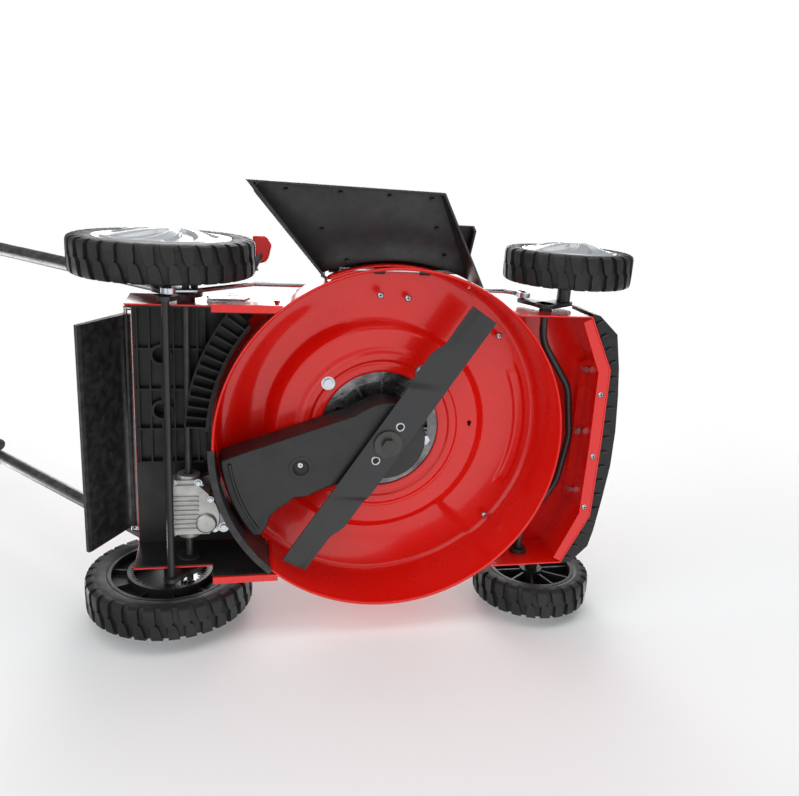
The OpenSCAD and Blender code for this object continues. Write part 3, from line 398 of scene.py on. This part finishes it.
def tube(name, points, radius, material, body, replaces=(), cyclic=False, bend=None):
    """A round bar along points in millimetres, with arcs of radius bend at its corners."""
    route = [Vector(p) for p in points]
    if bend:
        soft = [route[0]]
        for a, b, c in zip(route, route[1:], route[2:]):
            u, w = (a - b).normalized(), (c - b).normalized()
            half = u.angle(w) / 2
            reach = min(bend / math.tan(half), 0.48 * (a - b).length, 0.48 * (c - b).length)
            r = reach * math.tan(half)
            centre = b + (u + w).normalized() * (r / math.sin(half))
            start, end = b + u * reach - centre, b + w * reach - centre
            whole = start.angle(end)
            for k in range(9):
                t = k / 8
                if whole > 1e-6:
                    arm = (start * math.sin((1 - t) * whole) + end * math.sin(t * whole)) / math.sin(whole)
                else:
                    arm = start
                soft.append(centre + arm)
        route = soft + [route[-1]]
    data = bpy.data.curves.new(name, "CURVE")
    data.dimensions = "3D"
    data.bevel_depth = radius * MM
    data.bevel_resolution = 6
    data.use_fill_caps = True
    line = data.splines.new("POLY")
    line.points.add(len(route) - 1)
    for spot, p in zip(line.points, route):
        spot.co = (p.x * MM, p.y * MM, p.z * MM, 1)
    line.use_cyclic_u = cyclic
    line.use_smooth = True
    obj = bpy.data.objects.new(name, data)
    bpy.context.collection.objects.link(obj)
    data.materials.append(materials[material])
    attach(obj, body)
    if replaces:
        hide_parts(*replaces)
    return obj


dress_cad()

# ---------- deck ----------

RIM_R, RIM_Z, CEIL_Z = 250.4, 25.0, 107.0
RIM_C = (6.0, -2.0)
# centres of axles and pins, as (x, z)
DRIVE_SHAFT = (-276.3, 91.8)
FRONT_PIVOT = (224.32, 65.62)
FRONT_HUB = (262, 92)
LINK_PIN = (204.33, 106.6)
# screws up through the chamber's ceiling and through the apron's flange, as (x, y)
CEILING_SCREWS = ((-10.7, -202.3), (29.7, -199.1), (172.7, -146.7), (177.6, 145))
FLANGE_SCREWS = ((308, -78), (309.5, 18), (307, 100))


def channel_depth(angle):
    """How far the outer channel rises above the platform: deep at the rear, shallow in front."""
    turn = math.degrees(angle) % 360
    marks = [(0, 7), (48, 7), (53, 15), (90, 17), (135, 22), (180, 27), (225, 24), (262, 13), (285, 8),
             (310, 7), (360, 7)]
    for (a, da), (b, db) in zip(marks, marks[1:]):
        if turn <= b:
            return da + (db - da) * ramp(turn, a, b)
    return marks[-1][1]


def rear_share(angle):
    """1 at the rear of the chamber, where the outer wall slopes, 0 in front."""
    turn = math.degrees(angle) % 360
    return ramp(turn, 60, 150) * (1 - ramp(turn, 235, 290))


def ceiling(r, angle):
    """Height of the ceiling's underside at radius r."""
    deep, rear = channel_depth(angle), rear_share(angle)
    z = CEIL_Z + 1.2 * (1 - ramp(r, 88.6, 92))
    z += 1.3 * ramp(r, 99, 104) - 2.6 * ramp(r, 104, 108) * (1 - ramp(r, 116, 122))
    z += 1.3 * ramp(r, 122, 128)
    z += deep * ramp(r, 150 + 2 * rear, 166 + 6 * rear)
    # the outer wall comes down in a long slope at the rear
    z -= (deep * 0.75) * ramp(r, 190, 236) * rear
    turn = (math.degrees(angle) + 180) % 360 - 180
    swell = ramp(turn, -27, -22) * (1 - ramp(turn, 22, 27))
    z -= 5 * swell * ramp(r, 207, 211) * (1 - 0.8 * ramp(r, 222, 226))
    return z


def deck_point(angle, step):
    """A point of the chamber's underside; step runs from the engine hole (0) to the rim's bead (1)."""
    if step <= 0.8:
        r = 88.8 + (236 - 88.8) * step / 0.8
        z = ceiling(r, angle)
    else:
        top = ceiling(236, angle)
        wall = [(236, top), (239.5, top - 2.2), (242.3, top - 6.5), (243.8, top - 13), (244.6, 62),
                (245.2, 40), (245.6, 31), (246.6, 27.2), (248.3, 25.3), (249.8, 26.0), (250.2, 28.5),
                (249.2, 30.6)]
        t = (step - 0.8) / 0.2 * (len(wall) - 1)
        i = min(int(t), len(wall) - 2)
        r = wall[i][0] + (wall[i + 1][0] - wall[i][0]) * (t - i)
        z = wall[i][1] + (wall[i + 1][1] - wall[i][1]) * (t - i)
    shift = ramp(r, 150, 236)
    return (r * math.cos(angle) + RIM_C[0] * shift, r * math.sin(angle) + RIM_C[1] * shift, z)


def make_deck():
    steps = [0.8 * i / 110 for i in range(111)] + [0.8 + 0.2 * i / 22 for i in range(1, 23)]
    angles = [TAU * i / 240 for i in range(240)]
    verts, faces = grid(deck_point, angles, steps, close_u=True)
    keep = []
    for face in faces:
        x, y, z = (sum(verts[i][k] for i in face) / 4 for k in range(3))
        turn = math.degrees(math.atan2(y - RIM_C[1], x - RIM_C[0])) % 360
        r = math.hypot(x, y)
        rear_gap = 133 < turn < 179 and r > 238 and z < 96
        side_gap = -86 < x < 110 and y < -225 and r > 241 and 47 < z < 92
        hole = math.hypot(x - 140, y + 8) < 3.0
        if not (rear_gap or side_gap or hole):
            keep.append(face)
    piece("deck_shell", verts, keep, "red_paint", "deck", ("deck_chamber",), thick=1.5)


make_deck()


def make_liner():
    """Black lining inside the rear deck: two sides and a roof round the chamber's wall."""
    arc = [(RIM_C[0] + 251.6 * math.cos(a), RIM_C[1] + 251.6 * math.sin(a))
           for a in np.radians(np.linspace(131.8, 228.2, 25))]
    roof = [(-351, 187)] + arc + [(-351, -187)]
    shapes = [prism(roof, 138.4, 139.6)]
    for s in (-1, 1):
        side = [(-351, 63), (-243.5, 63), (-243.5, 27.5), (-166, 27.5), (-166, 138.4), (-351, 138.4)]
        verts, faces = prism(side, 0, 1)
        shapes.append(([(x, s * (186.4 + t), z) for x, z, t in verts], faces))
    piece("rear_lining", *join(*shapes), "black_plastic", "deck", smooth=False, bevel=0.3)


# ---------- wheels ----------

WHEELS = {
    "front_left": dict(x=262, r=92, w=48.4, inner=229.8, side=1, r_in=68, lugs=25, spokes=5),
    "front_right": dict(x=262, r=92, w=48.4, inner=229.8, side=-1, r_in=68, lugs=25, spokes=5),
    "rear_left": dict(x=-306, r=121.5, w=50, inner=221.7, side=1, r_in=90, lugs=32, spokes=6),
    "rear_right": dict(x=-306, r=121.5, w=50, inner=221.7, side=-1, r_in=90, lugs=32, spokes=6),
}


def on_wheel(verts, wheel):
    """Places points drawn with the wheel's inner face on z = 0 on the wheel."""
    s = wheel["side"]
    return [(wheel["x"] + x, s * (wheel["inner"] + z), wheel["r"] - s * y) for x, y, z in verts]


def tyre_shape(r, w, r_in, lugs):
    """Carcass with two staggered rows of tongue-shaped lugs that run over the shoulders."""
    low = r - 5
    profile = [(r_in, 3), (r_in + 3, 1), (r - 17, 0.3), (r - 10, 1.2), (low - 1.6, 5), (low, 10),
               (low, w - 10), (low - 1.6, w - 5), (r - 10, w - 1.2), (r - 17, w - 0.3), (r_in + 3, w - 1),
               (r_in, w - 3)]
    shapes = [lathe(profile, 96)]
    # distance in from the side face, radius at the top, half the width of a lug
    rows = [(0.3, r - 12, 7.6), (1.0, r - 5.5, 7.6), (3.0, r - 1.6, 7.5), (7, r - 0.2, 7.2), (14, r, 6.9),
            (19, r, 6.2), (0.47 * w, r, 5.0), (0.52 * w, r - 0.1, 2.8)]
    pitch = TAU * r / lugs
    for k in range(2 * lugs):
        flip = k % 2
        middle = TAU * k / (2 * lugs)
        verts = []
        for depth, top, half in rows:
            v = w - depth if flip else depth
            lean = 0.16 * depth * (1 if flip else -1)
            half = half * pitch / 23
            for radius in (top, max(min(low, top) - 4, r_in + 1)):
                for u in (-half, half):
                    a = middle + (u + lean) / r
                    inset = 0.8 if radius != top and depth < 2 else 0
                    z = v + (-inset if flip else inset)
                    verts.append((radius * math.cos(a), radius * math.sin(a), z))
        faces = []
        last = 4 * (len(rows) - 1)
        for i in range(0, last, 4):
            faces += [(i, i + 1, i + 5, i + 4), (i + 2, i + 6, i + 7, i + 3), (i, i + 4, i + 6, i + 2),
                      (i + 1, i + 3, i + 7, i + 5)]
        faces += [(0, 2, 3, 1), (last, last + 1, last + 3, last + 2)]
        if flip:
            faces = [f[::-1] for f in faces]
        shapes.append((verts, faces))
    return join(*shapes)


def cap_shape(r, w, spokes):
    """Bulging hub cap with swirled raised spokes and sunk pockets between them."""
    def point(angle, share):
        radius = share * (r - 0.6)
        dome = 12.0 * (1 - ramp(share, 0.18, 1.02)) + 0.4
        swirl = math.cos(spokes * (angle + 1.5 * share))
        pocket = ramp(swirl, -0.15, 0.25) * ramp(share, 0.24, 0.34) * (1 - ramp(share, 0.76, 0.88))
        ring = 1.6 * ramp(share, 0.88, 0.91) * (1 - ramp(share, 0.97, 1.0))
        hub = 2.0 * ramp(share, 0.09, 0.12) - 2.0 * ramp(share, 0.17, 0.21)
        z = w - 1.2 + dome - (2.0 + 5.0 * (1 - share)) * pocket - ring + min(hub, 0)
        return (radius * math.cos(angle), radius * math.sin(angle), min(z, w + 11.9))
    angles = [TAU * i / 150 for i in range(150)]
    shares = [0.004 + 0.996 * i / 34 for i in range(35)]
    verts, faces = grid(point, angles, shares, close_u=True)
    faces.append(tuple(range(0, len(verts), 35)))
    return verts, faces


def make_wheels():
    for name, wheel in WHEELS.items():
        body = name + "_wheel"
        verts, faces = tyre_shape(wheel["r"], wheel["w"], wheel["r_in"], wheel["lugs"])
        piece(name + "_tread", on_wheel(verts, wheel), faces, "tyre_rubber", body, (name + "_tyre",),
              bevel=0.5)
        verts, faces = cap_shape(wheel["r_in"], wheel["w"], wheel["spokes"])
        piece(name + "_hub_cap", on_wheel(verts, wheel), faces, "cap_silver", body, (name + "_cap",),
              thick=-1.4)


# ---------- blade and belt cover ----------

BLADE_TURN = math.radians(-56.8)
# half the blade's length and width, and how far its two holes stand from its middle
BLADE_HALF = 227.4
BLADE_SIDE = 25
HOLE_OUT = 30


def make_blade():
    """Flat in the middle; past a step on each side it twists, with its trailing edge up."""
    def point(along, across):
        far = abs(along)
        trail = -across * (1 if along > 0 else -1)
        outer = ramp(far, 92 - 0.5 * trail, 106 - 0.5 * trail)
        z = 44 + outer * (1.2 + 0.11 * (trail + 25))
        z += ramp(far, 150, 200) * 2.2 * ramp(trail, 8, 25)
        cut = 9.0 * ramp(far, 136, 168) * ramp(trail, -25, 25)
        return (along, across + cut * (1 if along > 0 else -1), min(z, 52.5))
    alongs = [-BLADE_HALF + 2 * BLADE_HALF * i / 130 for i in range(131)]
    acrosses = [-BLADE_SIDE + 2 * BLADE_SIDE * i / 12 for i in range(13)]
    verts, faces = grid(point, alongs, acrosses)
    keep = []
    for face in faces:
        x, y = (sum(verts[i][k] for i in face) / 4 for k in range(2))
        hole = math.hypot(x, y) < 9
        if not hole:
            keep.append(face)
    c, s = math.cos(BLADE_TURN), math.sin(BLADE_TURN)
    verts = [(c * x - s * y, s * x + c * y, z) for x, y, z in verts]
    piece("cutting_blade", verts, keep, "blade_steel", "crank", ("blade",), thick=-2.4, bevel=0.5)


def make_blade_boss():
    """Bright rims round the blade's two holes, and black discs of painted shade inside them."""
    shapes = []
    for along in (-HOLE_OUT, HOLE_OUT):
        hole = turned([(along, 0)], BLADE_TURN)[0]
        ring = [(4.4, 43.0), (5.6, 42.8), (6.8, 43.2), (6.9, 44.2), (4.4, 44.2)]
        shapes.append(lathe(ring, 32, hole))
    piece("blade_hole_rims", *join(*shapes), "zinc", "crank")
    # black discs in the blade's two holes: painted shade for the dark inside of the holes
    shapes = []
    for along in (-HOLE_OUT, HOLE_OUT):
        hole = turned([(along, 0)], BLADE_TURN)[0]
        shapes.append(lathe([(0.05, 43.4), (4.5, 43.4), (4.5, 44.0), (0.05, 44.0)], 24, hole))
    piece("blade_hole_shade", *join(*shapes), "belt_rubber", "crank")


def make_belt_cover():
    """Moulded cover over the belt: bevelled prism with an arched outer end and a wavy edge."""
    arc = [(RIM_C[0] + 241 * math.cos(a), RIM_C[1] + 241 * math.sin(a))
           for a in np.radians(np.linspace(173.5, 143.5, 13))]
    wavy = [(-177, 141), (-168, 128), (-163, 112), (-150, 99), (-139, 92), (-130, 84), (-112, 83), (-97, 75),
            (-84, 70), (-60, 62), (-40, 50)]
    outline = [(-34, -47), (-48.8, -38)] + arc + wavy
    hub = [(57.5 * math.cos(a), 57.5 * math.sin(a)) for a in np.radians(np.linspace(-125, 128, 40))]
    top = prism(hub + wavy[::-1][1:] + arc[::-1] + [(-48.8, -38)], 54, 104)
    piece("belt_guard", *top, "black_plastic", "deck", ("belt_cover",), bevel=3.2)
    # access hole with a chamfered rim and a screw deep inside; the hole's dark inside is a black disc of
    # painted shade
    hole = (-121.5, 37.8)
    rim = lathe([(11.5, 53.2), (17.5, 53.4), (17.2, 54.6), (12.2, 60), (10.8, 60)], 48, hole)
    piece("guard_hole_rim", *rim, "black_plastic", "deck", bevel=0.4)
    dark = lathe([(0.1, 53.75), (11.8, 53.75), (11.8, 54.4), (0.1, 54.4)], 40, hole)
    piece("guard_hole_shade", *dark, "belt_rubber", "deck")
    head = lathe([(0.1, 52.9), (3.2, 52.9), (4.2, 53.4), (4.2, 54.0), (0.1, 54.0)], 32,
                 (hole[0] - 1, hole[1] - 4))
    piece("guard_screw", *head, "zinc", "deck")
    # curved rib along the arched end
    def rib(t, k):
        a = math.radians(172 - 27 * t)
        r = (226, 226.8, 230.2, 231)[k]
        return (RIM_C[0] + r * math.cos(a), RIM_C[1] + r * math.sin(a), (54, 50.6, 50.6, 54)[k])
    piece("guard_rib", *grid(rib, [i / 30 for i in range(31)], range(4)), "black_plastic", "deck", bevel=0.8)


# ---------- gearbox ----------

def along_y(shape, x, z):
    """Turns a lathe drawn about Z so that its axis lies along Y through (x, z)."""
    verts, faces = shape
    return [(x + a, c, z + b) for a, b, c in verts], [f[::-1] for f in faces]


def hex_head(x, y, z, r, h, washer=0):
    points = [(x + r * math.cos(a), y + r * math.sin(a)) for a in np.radians(range(0, 360, 60))]
    shapes = [prism(points, z - h, z)]
    if washer:
        shapes.append(lathe([(0.1, z - 1), (washer, z - 1), (washer, z), (0.1, z)], 32, (x, y)))
    return join(*shapes)


def make_gearbox():
    """Cast housing: ribbed case, collars on the shaft, round boss, flange bolts and a bracket."""
    case = [(-301, 70), (-297, 66), (-262, 66), (-250, 78), (-238, 96), (-233, 112), (-235, 130), (-248, 142),
            (-297, 142), (-301, 138)]
    shapes = [prism(case, 68, 112)]
    right_collar = [(6, 56), (15, 56), (16, 58), (16, 68), (13, 70), (6, 70)]
    left_collar = [(6, 138), (13, 138), (16, 142), (16, 150), (15, 152), (6, 152)]
    for collar in (right_collar, left_collar):
        shapes.append(along_y(lathe(collar, 48), *DRIVE_SHAFT))
    for y in range(82, 138, 7):
        shapes.append(prism([(-298, y), (-262, y), (-262, y + 2.6), (-298, y + 2.6)], 64.6, 69))
    shapes.append(lathe([(0.1, 62), (12, 62), (14.5, 64), (15, 70), (0.1, 70)], 48, (-252, 124)))
    shapes.append(prism([(-302, 60), (-262, 60), (-254, 68), (-262, 74), (-302, 74)], 72, 80))
    bracket = [(-246, 92), (-222, 110), (-217, 134), (-222, 146), (-240, 146), (-240, 120)]
    shapes.append(prism(bracket, 84, 90))
    piece("gearbox_case", *join(*shapes), "cast_alloy", "deck", ("gearbox_housing",), bevel=1.2)
    bolts = [hex_head(x, y, 72, 4, 4, 6) for x, y in ((-297, 64), (-263, 64))]
    bolts += [hex_head(x, y, 68, 3.6, 3.4, 5) for x, y in ((-297, 138), (-240, 134), (-246, 88))]
    bolts.append(hex_head(-228, 139, 84, 5, 4, 8))
    piece("gearbox_bolts", *join(*bolts), "zinc", "deck", bevel=0.4)


# ---------- front ----------

def make_front():
    """Ribs of the bumper's underside, the apron's folded lower flange and its screws."""
    front = [(284, -193), (322.4, -115), (324, 0), (322.4, 115), (284, 193)]
    ribs = []
    for (ax, ay), (bx, by) in zip(front, front[1:]):
        count = int(math.hypot(bx - ax, by - ay) / 21)
        turn = math.atan2(by - ay, bx - ax)
        for k in range(count):
            t = (k + 0.5) / count
            x, y = ax + (bx - ax) * t, ay + (by - ay) * t
            rib = [(-1.2, -9), (1.2, -9), (1.2, 0), (-1.2, 0)]
            foot = [(x + px, y + py) for px, py in turned(rib, turn)]
            ribs.append(prism(foot, 24.6, 30))
    piece("bumper_ribs", *join(*ribs), "black_plastic", "deck", bevel=0.4)
    outer = [(279, -190), (317, -114.6), (318.5, 0), (317, 114.6), (279, 190)]
    inner = [(267, -184), (300, -111), (301.5, 0), (300, 111), (267, 184)]
    flange = prism(outer + inner[::-1], 25.2, 27.2)
    piece("apron_flange", *flange, "red_paint", "deck", bevel=0.7)
    heads, cross_shade = [], []
    for x, y in FLANGE_SCREWS:
        heads.append(lathe([(0.1, 22.6), (2.6, 22.9), (4.2, 24.0), (4.6, 25.4), (0.1, 25.4)], 32, (x, y)))
    for x, y in CEILING_SCREWS:
        heads.append(lathe([(0.1, 100.6), (2.8, 100.9), (4.4, 101.8), (5.2, 103), (0.1, 103)], 32, (x, y)))
    # dark crosses standing proud on the screw heads: painted shade for their cross recesses
    places = [(spot, 100.5) for spot in CEILING_SCREWS] + [(spot, 22.5) for spot in FLANGE_SCREWS]
    for (x, y), z in places:
        for arm in ((2.6, 0.5), (0.5, 2.6)):
            bar = [(x - arm[0], y - arm[1]), (x + arm[0], y - arm[1]), (x + arm[0], y + arm[1]),
                   (x - arm[0], y + arm[1])]
            cross_shade.append(prism(bar, z - 0.15, z + 0.5))
    piece("screw_heads", *join(*heads), "zinc", "deck")
    piece("screw_cross_shade", *join(*cross_shade), "shaft_steel", "deck")


def flat_arm(p, q, rp, rq, y0, y1):
    """Rounded arm plate between two centres (x, z), from y0 to y1."""
    turn = math.atan2(q[1] - p[1], q[0] - p[0])
    edge = [(p[0] + rp * math.cos(turn + a), p[1] + rp * math.sin(turn + a))
            for a in np.linspace(math.pi / 2, 1.5 * math.pi, 17)]
    edge += [(q[0] + rq * math.cos(turn + a), q[1] + rq * math.sin(turn + a))
             for a in np.linspace(-math.pi / 2, math.pi / 2, 17)]
    return along_y(prism(edge, y0, y1), 0, 0)


def make_front_axle():
    """Smoothly bowed round axle with its arm plates, wheel studs and the link's pin."""
    x0, z0 = FRONT_PIVOT
    bow = [(0, -200, 0), (0, -149, 0), (53, -77, 6), (66, 0, 8), (53, 77, 6), (0, 149, 0), (0, 200, 0)]
    tube("axle_bow", [(x0 + x, y, z0 + z) for x, y, z in bow], 5.6, "black_metal", "front_axle",
         ("front_axle",), bend=60)
    shapes = []
    for side in (-1, 1):
        low, high = sorted((side * 197, side * 203))
        shapes.append(flat_arm(FRONT_PIVOT, FRONT_HUB, 15, 14, low, high))
        for radius, start, end in ((6, 198, 272), (10, 198, 235.2), (10, 269.5, 276)):
            a, b = sorted((side * start, side * end))
            shapes.append(along_y(lathe([(0.1, a), (radius, a), (radius, b), (0.1, b)], 40), *FRONT_HUB))
    shapes.append(flat_arm(FRONT_PIVOT, LINK_PIN, 14, 8, -203, -197))
    shapes.append(along_y(lathe([(0.1, -214), (3, -214), (3, -198), (0.1, -198)], 32), *LINK_PIN))
    piece("axle_arms", *join(*shapes), "black_metal", "front_axle", bevel=0.8)


def make_knob():
    """Slanted block grip on the height lever."""
    outline = [(-17, -22), (4, -22), (13, -9), (9, 10), (5, 17), (-10, 21), (-13, 6), (-14, -4)]
    grip = prism([(-168 + x, -243 + y) for x, y in outline], 240, 263)
    piece("height_grip", *grip, "red_plastic", "rear_axle", ("height_knob",), bevel=3.4)


# ---------- handle ----------

def make_handle():
    """The bent tubes and the two bails as smooth round bars, with a foam sleeve on the cross bar."""
    up, flat = math.radians(50), math.radians(20)
    pivot, rise, level = (-310, 152), (-math.cos(up), math.sin(up)), (-math.cos(flat), math.sin(flat))
    def go(start, way, length):
        return (start[0] + way[0] * length, start[1] + way[1] * length)
    joint = go(pivot, rise, 560)
    bend = go(joint, rise, 430)
    end = go(bend, level, 230)
    low = go(joint, rise, -40)
    def at(p, y):
        return (p[0], y, p[1])
    half = 177
    loop = [at(low, -half), at(bend, -half), at(end, -half), at(end, half), at(bend, half), at(low, half)]
    tube("upper_tube", loop, 11, "handle_coat", "upper_handle", ("upper_handle",), bend=62)
    knobs = []
    for side in (-1, 1):
        lobes = [((14 + 2 * math.cos(6 * a)) * math.cos(a), (14 + 2 * math.cos(6 * a)) * math.sin(a))
                 for a in np.linspace(0, TAU, 60, endpoint=False)]
        knob = prism(lobes, min(side * 213, side * 230), max(side * 213, side * 230))
        bolt = lathe([(0.1, min(side * 165, side * 214)), (4, min(side * 165, side * 214)),
                      (4, max(side * 165, side * 214)), (0.1, max(side * 165, side * 214))], 24)
        knobs += [along_y(knob, *joint), along_y(bolt, *joint)]
    piece("clamp_knobs", *join(*knobs), "black_plastic", "upper_handle", bevel=1.2)
    tube("foam_sleeve", [at(end, -104), at(end, 104)], 13.4, "foam_grip", "upper_handle")
    above = (math.sin(flat), math.cos(flat))
    for name, along, off, lift, reach in (("brake_bail", 60, 6, 32, 168), ("drive_bail", 90, -6, -36, 150)):
        start = go(go(bend, level, along), above, off)
        tip = go(start, (-math.cos(flat + math.radians(lift)), math.sin(flat + math.radians(lift))), reach)
        tube(name + "_bar", [at(start, -163), at(start, -155), at(tip, -155), at(tip, 155), at(start, 155),
                             at(start, 163)], 4, "handle_coat", name, (name,), bend=16)


def make_chute_trim():
    """Folded lip along the chute's outer edges and the small tabs that stiffen its roof."""
    fall = math.tan(math.radians(22))
    def under(x, y, drop):
        return (x, y, 104 - (-228 - y) * fall - 2.9 - drop)
    tabs = []
    for x, y in ((-150, -341), (-80, -341), (-15, -340), (42, -339), (56, -300), (74, -262), (-62, -250),
                 (-100, -292)):
        corners = ((-3, -1.2), (3, -1.2), (3, 1.2), (-3, 1.2))
        block = [under(x + a, y + b, drop) for drop in (0, 4.2) for a, b in corners]
        faces = [(0, 1, 2, 3), (4, 7, 6, 5), (0, 4, 5, 1), (1, 5, 6, 2), (2, 6, 7, 3), (3, 7, 4, 0)]
        tabs.append((block, faces))
    piece("chute_tabs", *join(*tabs), "black_plastic", "side_chute", bevel=0.5)
    lip = [(-96, -231, 100 - 3), (-199.5, -350.5, 38.5), (53.5, -347.6, 38.5), (117, -230, 90)]
    tube("chute_lip", [(x, y, z if k in (0, 3) else 37.6) for k, (x, y, z) in enumerate(lip)], 1.6,
         "black_plastic", "side_chute", bend=9)


make_chute_trim()
make_liner()
make_wheels()
make_blade()
make_blade_boss()
make_belt_cover()
make_gearbox()
make_front()
make_front_axle()
make_knob()
make_handle()
